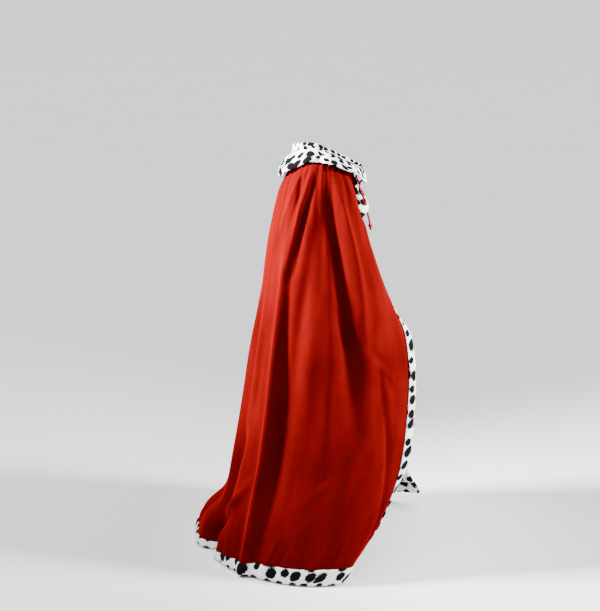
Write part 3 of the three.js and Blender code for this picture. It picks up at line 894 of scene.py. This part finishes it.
@dataclass(frozen=True)
class FloorFinish:
    """Plain pale studio floor."""

    name: str = "floor"
    pale: Colour = (0.9, 0.9, 0.9, 1)
    palest: Colour = (0.93, 0.93, 0.93, 1)
    patch_scale: float = 2.0

    def material(self) -> bpy.types.Material:
        """Builds the floor.

        Returns:
            The material.
        """
        nodes = NodeSheet(self.name)
        place = nodes.add("ShaderNodeTexCoord").outputs["Object"]
        colour = nodes.mix(nodes.noise(place, self.patch_scale), self.pale, self.palest)
        return nodes.surface(Base_Color=colour, Roughness=0.9)


@dataclass
class VelvetCape:
    """The one-piece gathered cape, a wall 1.6 mm thick.

    The steps and rows set the sheet's grid. flat and flat_area give the cut in metres.
    """

    drape: Drape
    band_steps: int = 6
    back_steps: int = 140
    front_steps: int = 84
    rows: int = 132
    row_bias: float = 1.25
    band_rows: int = 8
    flat: tuple[float, float] = (1.17, 0.79)
    flat_area: float = 0.62

    def shares(self) -> np.ndarray:
        """Gives the rows' shares of the length, with the hem band's rows at the end."""
        band_top = 1 - BAND_WIDTH / CAPE_LENGTH
        above = band_top * (np.arange(self.rows) / self.rows) ** self.row_bias
        return np.concatenate([above, np.linspace(band_top, 1, self.band_rows + 1)])

    def sheet(self) -> np.ndarray:
        """Gives the outside of the velvet as rows of points."""
        return np.array([self.drape.row(share, self.band_steps, self.back_steps, self.front_steps)
                         for share in self.shares()])

    def build(self, points: np.ndarray, face: bpy.types.Material,
              back: bpy.types.Material) -> bpy.types.Object:
        """Makes the velvet piece.

        Args:
            points: The sheet.
            face: Material of the pile side.
            back: Material of the inside.

        Returns:
            The piece.
        """
        piece = add_piece("velvet_shell", sheet_shape(points, flat_chart(points)), [face, back])
        thicken(piece, VELVET, -1, inner_slot=1)
        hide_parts("velvet_cape")
        return piece


class Edge(Enum):
    """An edge of the velvet that a plush band is folded over."""

    HEM = "hem_band"
    LEFT = "front_band_left"
    RIGHT = "front_band_right"


# Where the bands lie on the plush they are cut from: where each one starts along it, and where their rims
# fall across its rows of spots.
CLOTH_STARTS = {Edge.HEM: 400.0, Edge.LEFT: 0.0, Edge.RIGHT: 212.0}
RIM_ON_CLOTH = -2.0


@dataclass
class PlushBands:
    """The plush bands, each folded over one edge of the velvet.

    Low down on the right front edge, and round the flare of the hem, the velvet hides part of the band. tuck
    and hem_tuck are the parts of its face that are turned under there.
    """

    points: np.ndarray
    band_steps: int
    band_rows: int
    turn_steps: int = 4
    plumpness: float = 1.6
    hem_end: float = 3.0
    first_row: int = 6
    tuck: float = 0.36
    tuck_rows: int = 26
    hem_tuck: float = 0.55
    hem_tuck_at: float = -20.0
    hem_tuck_reach: float = 31.0
    clump: float = 5.0
    clump_depth: float = 1.0

    def lines(self, edge: Edge) -> tuple[np.ndarray, np.ndarray]:
        """Picks the velvet's points and normals under a band.

        Args:
            edge: The edge it is folded over.

        Returns:
            The points and the normals, a row for each place along the edge, with the rim last.
        """
        normals = sheet_normals(self.points)
        stop = len(self.points) - self.band_rows - 1
        if edge is Edge.HEM:
            points, normals = (grid[stop:].transpose(1, 0, 2) for grid in (self.points, normals))
            around = np.degrees(np.arctan2(-points[:, -1, 0], points[:, -1, 1]))
            share = self.hem_tuck * np.exp(-((around - self.hem_tuck_at) / self.hem_tuck_reach) ** 2)
            return self.tucked(points, share), self.tucked(normals, share)
        rows = slice(self.first_row, stop + 1)
        if edge is Edge.LEFT:
            columns = slice(self.band_steps, None, -1)
            return self.points[rows, columns], normals[rows, columns]
        columns = slice(-self.band_steps - 1, None)
        from_hem = np.arange(stop - self.first_row, -1, -1)
        share = self.tuck * smooth(1 - from_hem / self.tuck_rows)
        return self.tucked(self.points[rows, columns], share), self.tucked(normals[rows, columns], share)

    def tucked(self, across: np.ndarray, share: np.ndarray) -> np.ndarray:
        """Narrows a band's face where its inner part is turned under.

        Args:
            across: Rows of points or normals across the face.
            share: The part of the face that is turned under, one a row.

        Returns:
            The same rows, spread over what is left of the face.
        """
        columns = across.shape[1]
        places = np.arange(columns) + share[:, None] * (columns - 1 - np.arange(columns))
        return np.array([through(np.arange(columns), row, place) for row, place in zip(across, places)])

    def middle(self, edge: Edge) -> np.ndarray:
        """Gives the middle of the band's wall: down its face, round the velvet's edge and up inside.

        Args:
            edge: The edge it is folded over.

        Returns:
            One row of points a place along the edge.
        """
        face, normals = self.lines(edge)
        off = SEAM_GAP + PLUSH / 2
        across = np.linspace(0, 1, face.shape[1])
        plump = self.plumpness * np.sqrt(np.clip(4 * across * (1 - across), 0, 1))[None, :, None]
        outer = face + normals * (off + plump)
        inner = face - normals * (VELVET + off)
        away = unit(face[:, -1] - face[:, -2])[:, None]
        normal = normals[:, -1][:, None]
        centre = face[:, -1][:, None] - normal * VELVET / 2
        angle = np.linspace(0, np.pi, self.turn_steps + 2)[1:-1][None, :, None]
        radius = off + VELVET / 2
        turn = centre + (normal * np.cos(angle) + away * np.sin(angle)) * radius
        ring = np.concatenate([outer, turn, inner[:, ::-1]], axis=1)
        if edge is Edge.HEM:
            first = ring[:1] + unit(ring[:1] - ring[1:2]) * self.hem_end
            last = ring[-1:] + unit(ring[-1:] - ring[-2:-1]) * self.hem_end
            return np.concatenate([first, ring, last])
        ring[-1] -= unit(ring[-1] - ring[-2]) * 2 * SEAM_GAP
        return ring

    def chart(self, edge: Edge, ring: np.ndarray) -> np.ndarray:
        """Measures a band's flat coordinates, along its rim and across from it.

        Args:
            edge: The edge it is folded over.
            ring: Rows of points across the band's wall.

        Returns:
            The same rows of flat coordinates.
        """
        rim = self.band_rows if edge is Edge.HEM else self.band_steps
        across = np.array([run_along(line) for line in ring])
        across = across - across[:, rim:rim + 1] + RIM_ON_CLOTH
        along = run_along(ring[:, rim]) + CLOTH_STARTS[edge]
        return np.stack([np.broadcast_to(along[:, None], across.shape), across], axis=-1)

    def build(self, edge: Edge, plush: bpy.types.Material) -> bpy.types.Object:
        """Makes one band.

        Args:
            edge: The edge it is folded over.
            plush: Its material.

        Returns:
            The piece.
        """
        ring = self.middle(edge)
        if edge is not Edge.LEFT:
            ring = ring[::-1]
        piece = add_piece(edge.value + "_plush", sheet_shape(ring, self.chart(edge, ring)), [plush])
        thicken(piece, PLUSH, 0)
        round_off(piece)
        ruffle(piece, self.clump, self.clump_depth)
        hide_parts(edge.value)
        return piece


@dataclass
class PlushCollar:
    """The collar: a stand on the neck seam that rolls over and falls on the cape."""

    drape: Drape
    stations: int = 230
    across: int = 40
    clump: float = 5.0
    clump_depth: float = 1.1

    def column(self, bearing: float) -> np.ndarray:
        """Gives the collar's section at a bearing, from its root to its free edge.

        Args:
            bearing: The section's bearing.

        Returns:
            The section's points.
        """
        stand, spread, fall, lift = through(COLLAR[:, 0], COLLAR[:, 1:], bearing)
        lift += COLLAR_WAVES[1] * np.cos(np.radians(bearing * COLLAR_WAVES[0]))
        seam = self.drape.seam_line(0, bearing)
        outwards = point_at(bearing, 1, 0)
        line = [seam + UP * (ROOT_CLEARANCE + stand * up) + outwards * (over + spread * up)
                for up, over in ROLL]
        for t in np.arange(1, FALL_ROWS + 1) / FALL_ROWS:
            share = fall * t / CAPE_LENGTH
            on = self.drape.seam_line(share, bearing)
            down = self.drape.seam_line(share + SLOPE_STEP, bearing) - on
            off = unit(np.cross(down, point_at(bearing + 90, 1, 0)))
            direction = unit(UP + (off - UP) * smooth(t * FALL_TURN))
            height = stand + (lift - stand) * t ** LIFT_EASE
            line.append(on + direction * height + outwards * spread * (1 - t))
        return resampled(np.array(line), self.across)

    def sheet(self) -> np.ndarray:
        """Gives the middle of the collar's wall as rows of points from its root down."""
        bearings = np.linspace(COLLAR[0, 0], COLLAR[-1, 0], self.stations)
        return np.array([self.column(bearing) for bearing in bearings]).transpose(1, 0, 2)

    def build(self, plush: bpy.types.Material) -> bpy.types.Object:
        """Makes the collar.

        Args:
            plush: Its material.

        Returns:
            The piece.
        """
        points = self.sheet()
        chart = flat_chart(points) + COLLAR_START
        piece = add_piece("collar_plush", sheet_shape(points, chart), [plush])
        thicken(piece, COLLAR_THICKNESS, 0)
        round_off(piece)
        ruffle(piece, self.clump, self.clump_depth)
        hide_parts("collar")
        depth = float(np.mean([run_along(line)[-1] for line in points.transpose(1, 0, 2)])) * MM
        return piece


@dataclass
class NeckTie:
    """The knot, its two strings from the collar, and two free ends with knotted tips.

    The strings leave the collar low on its stand, at one stand_part of its rows, and carry on in the
    direction of its last stand_step points. A free end's tip is a few turns of cord round it, and the knot a
    winding of cord with a few lobes. tip_wind and knot_reach are the radius of each and how far it swings,
    and tip_place is where along a free end the direction of its tip is read.
    """

    collar_points: np.ndarray
    sides: int = 14
    steps_per_mm: float = 1.2
    stand_part: int = 8
    stand_step: int = 4
    tip_length: float = 10.0
    tip_inset: float = 3.0
    tip_place: float = 0.9
    tip_rings: int = 44
    tip_turns: int = 2
    tip_closeness: float = 0.55
    tip_wind: tuple[float, float] = (1.5, 0.5)
    tip_radius: float = 2.3
    tip_ends: tuple[float, float] = (0.06, 0.94)
    tip_taper: float = 0.35
    knot_rings: int = 150
    knot_lobes: int = 3
    knot_reach: tuple[float, float] = (2.1, 1.3)
    knot_depth: float = 1.5
    knot_radius: float = 1.9

    def tube(self, name: str, line: np.ndarray, radii: np.ndarray,
             cord: bpy.types.Material) -> bpy.types.Object:
        """Spins a ring along a line into a closed cord.

        Args:
            name: The piece's name.
            line: Its centreline in millimetres.
            radii: Its radius at each point of the line.
            cord: Its material.

        Returns:
            The piece.
        """
        shape = bmesh.new()
        ring_edges = []
        tangents = unit(np.gradient(line, axis=0))
        side = Vector(unit(np.cross(tangents[0], ASIDE)))
        for place, tangent, radius in zip(line, tangents, radii):
            ahead = Vector(tangent)
            side = (side - ahead * side.dot(ahead)).normalized()
            turned = Matrix((side, ahead.cross(side), ahead)).transposed().to_4x4()
            matrix = Matrix.Translation(Vector(place * MM)) @ turned
            made = bmesh.ops.create_circle(shape, segments=self.sides, radius=radius * MM, matrix=matrix)
            ring_edges.append([edge for edge in shape.edges if edge.verts[0] in made["verts"]])
        for first, second in zip(ring_edges, ring_edges[1:]):
            bmesh.ops.bridge_loops(shape, edges=first + second)
        bmesh.ops.holes_fill(shape, edges=ring_edges[0] + ring_edges[-1], sides=self.sides)
        bmesh.ops.recalc_face_normals(shape, faces=shape.faces)
        run = run_along(line)
        cut = shape.loops.layers.uv.new("cut")
        for face in shape.faces:
            for loop in face.loops:
                ring, spoke = divmod(loop.vert.index, self.sides)
                loop[cut].uv = (spoke / self.sides * np.pi * CORD_DIAMETER * MM, run[ring] * MM)
        return add_piece(name, shape, [cord])

    def centreline(self, stops: list[tuple[float, float, float]]) -> np.ndarray:
        """Gives a free end's smooth line, from the knot's surface through its stops.

        Args:
            stops: Bearing, reach and level of each stop.

        Returns:
            The line's points.
        """
        path = np.array([point_at(*stop) for stop in stops])
        knot = point_at(*KNOT)
        start = knot + unit(path[0] - knot) * (KNOT_RADIUS + SEAM_GAP)
        line = np.concatenate([[start], path])
        return resampled(line, int(run_along(line)[-1] * self.steps_per_mm))

    def free_end(self, node: str, stops: list[tuple[float, float, float]], cord: bpy.types.Material) -> None:
        """Makes a free end and the overhand knot at its tip.

        Args:
            node: The frame's node that it stands for.
            stops: The stops of its line.
            cord: Its material.
        """
        line = self.centreline(stops)
        radii = np.full(len(line), CORD_DIAMETER / 2)
        radii[-len(END_TAPER):] *= END_TAPER
        piece = self.tube(node + "_cord", line, radii, cord)
        run = run_along(line)
        middle = run[-1] - self.tip_length / 2 - self.tip_inset
        tip = self.overhand(node + "_tip", line, run, middle, cord)
        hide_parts(node)

    def overhand(self, name: str, line: np.ndarray, run: np.ndarray, middle: float,
                 cord: bpy.types.Material) -> bpy.types.Object:
        """Makes the small knot at a cord's tip as close turns of cord round it.

        Args:
            name: The piece's name.
            line: The cord's centreline.
            run: Length along it.
            middle: Where the knot sits along it.
            cord: Its material.

        Returns:
            The piece.
        """
        turns = np.linspace(0, 1, self.tip_rings)
        places = middle + (turns - 0.5) * self.tip_length * self.tip_closeness
        centre = np.stack([np.interp(places, run, line[:, axis]) for axis in range(3)], axis=1)
        ahead = unit(np.gradient(line, axis=0)[int(len(line) * self.tip_place)])
        side = unit(np.cross(ahead, ASIDE))
        across = np.cross(ahead, side)
        angle = turns * 2 * self.tip_turns * np.pi
        wind = self.tip_wind[0] + self.tip_wind[1] * np.sin(np.pi * turns)
        coil = centre + (side * np.cos(angle)[:, None] + across * np.sin(angle)[:, None]) * wind[:, None]
        radii = self.tip_radius * np.sin(np.pi * np.clip(turns, *self.tip_ends)) ** self.tip_taper
        piece = self.tube(name, coil, radii, cord)
        return piece

    def string(self, node: str, end: np.ndarray, before: np.ndarray, cord: bpy.types.Material) -> None:
        """Makes a string from an end of the collar's stand to the knot.

        Args:
            node: The frame's node that it stands for.
            end: The stand's end.
            before: The point of the stand before it.
            cord: Its material.
        """
        off = unit(end - before)
        lead = end + off * STRING_LEAD
        knot = point_at(*KNOT)
        inside = knot + unit(lead - knot) * (KNOT_RADIUS - STRING_DEPTH)
        line = resampled(np.array([end + off * SEAM_GAP, lead, inside]), STRING_RINGS)
        piece = self.tube(node + "_cord", line, np.full(len(line), CORD_DIAMETER / 2), cord)
        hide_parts(node)

    def knot(self, cord: bpy.types.Material) -> bpy.types.Object:
        """Makes the knot as a tight winding of the same cord.

        Args:
            cord: Its material.

        Returns:
            The piece.
        """
        turns = np.linspace(0, 2 * np.pi, self.knot_rings)
        reach = self.knot_reach[0] + self.knot_reach[1] * np.cos(self.knot_lobes * turns)
        depth = self.knot_depth * np.sin(self.knot_lobes * turns)
        winding = np.stack([reach * np.cos(2 * turns), depth, reach * np.sin(2 * turns)], axis=1)
        bearing = np.radians(KNOT[0])
        turn = np.array([
            (np.cos(bearing), -np.sin(bearing), 0),
            (np.sin(bearing), np.cos(bearing), 0),
            (0, 0, 1),
        ])
        line = winding @ turn.T + point_at(*KNOT)
        radii = np.full(len(line), self.knot_radius)
        piece = self.tube("tie_knot_winding", line, radii, cord)
        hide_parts("tie_knot")
        return piece

    def build(self, cord: bpy.types.Material) -> None:
        """Makes the whole tie.

        Args:
            cord: Its material.
        """
        self.knot(cord)
        stand = self.collar_points[len(self.collar_points) // self.stand_part]
        self.string("tie_string_left", stand[0], stand[self.stand_step], cord)
        self.string("tie_string_right", stand[-1], stand[-1 - self.stand_step], cord)
        self.free_end("tie_end_right", END_RIGHT, cord)
        self.free_end("tie_end_left", END_LEFT, cord)


@dataclass
class Studio:
    """Pale floor, soft lights and the camera at the photograph's viewing angle. Its sizes are in metres."""

    floor_level: float = -0.729
    floor_reach: float = 60.0
    eye: tuple[float, float, float] = (-1.998, 1.301, 0.377)
    sight: tuple[float, float, float] = (0.8192, -0.5119, -0.2588)
    lens: float = 79.7
    sensor: float = 36.0
    sun_power: float = 3.6
    sun_angle: float = 1.0
    sky_colour: Colour = (1, 1, 1, 1)
    sky_strength: float = 0.34

    def floor(self) -> None:
        """Lays the floor."""
        shape = bmesh.new()
        level = Matrix.Translation((0, 0, self.floor_level))
        bmesh.ops.create_grid(shape, x_segments=1, y_segments=1, size=self.floor_reach, matrix=level)
        mesh = bpy.data.meshes.new("floor")
        shape.to_mesh(mesh)
        shape.free()
        mesh.materials.append(FloorFinish().material())
        floor = bpy.data.objects.new("floor", mesh)
        bpy.context.scene.collection.objects.link(floor)

    def light(self, name: str, place: tuple[float, float, float], aim: tuple[float, float, float],
              size: float, power: float, spread: float) -> None:
        """Hangs a square soft light.

        Args:
            name: The light's name.
            place: Where it hangs, in metres.
            aim: What it looks at.
            size: Its width in metres.
            power: Its power in watts.
            spread: How wide its beam opens, in radians.
        """
        lamp = bpy.data.lights.new(name, "AREA")
        lamp.size = size
        lamp.energy = power
        lamp.spread = spread
        hung = bpy.data.objects.new(name, lamp)
        hung.location = place
        hung.rotation_euler = (Vector(aim) - Vector(place)).to_track_quat("-Z", "Y").to_euler()
        bpy.context.scene.collection.objects.link(hung)

    def overhead(self) -> None:
        """Lights the floor evenly from straight above."""
        lamp = bpy.data.lights.new("overhead", "SUN")
        lamp.energy = self.sun_power
        lamp.angle = self.sun_angle
        bpy.context.scene.collection.objects.link(bpy.data.objects.new("overhead", lamp))

    def world(self) -> None:
        """Surrounds the scene with soft white light."""
        world = bpy.data.worlds.new("studio")
        world.use_nodes = True
        sky = world.node_tree.nodes["Background"]
        sky.inputs["Color"].default_value = self.sky_colour
        sky.inputs["Strength"].default_value = self.sky_strength
        bpy.context.scene.world = world

    def camera(self) -> None:
        """Sets the camera up."""
        lens = bpy.data.cameras.new("camera")
        lens.lens = self.lens
        lens.sensor_width = self.sensor
        camera = bpy.data.objects.new("camera", lens)
        camera.location = self.eye
        camera.rotation_euler = Vector(self.sight).to_track_quat("-Z", "Y").to_euler()
        bpy.context.scene.collection.objects.link(camera)
        bpy.context.scene.camera = camera

    def build(self) -> None:
        """Sets the whole studio up."""
        self.floor()
        self.world()
        self.light("key", place=(0.6, 1.3, 0.75), aim=(0, 0.05, -0.1), size=0.3, power=17.0, spread=0.66)
        self.light("front_fill", place=(-1.2, -1.2, 0.45), aim=(-0.05, 0, -0.22), size=0.4, power=13.0,
                   spread=0.85)
        self.overhead()
        self.camera()


def main() -> None:
    """Builds the robe piece by piece, then the studio."""
    logging.basicConfig(level=logging.INFO, format="%(message)s")
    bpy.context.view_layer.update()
    drape = Drape()
    cape = VelvetCape(drape)
    plush = PlushFinish().material()
    points = cape.sheet()
    cape.build(points, VelvetFinish().material(), BackingFinish().material())
    bands = PlushBands(points, cape.band_steps, cape.band_rows)
    for edge in Edge:
        bands.build(edge, plush)
    collar = PlushCollar(drape)
    small_spots = PlushFinish("collar_plush", cell=0.0150, spot_width=0.40, spot_length=0.57, turn=2.2,
                              scatter=0.62)
    collar.build(small_spots.material())
    NeckTie(collar.sheet()).build(CordFinish().material())
    Studio().build()


if __name__ == "__main__":
    main()
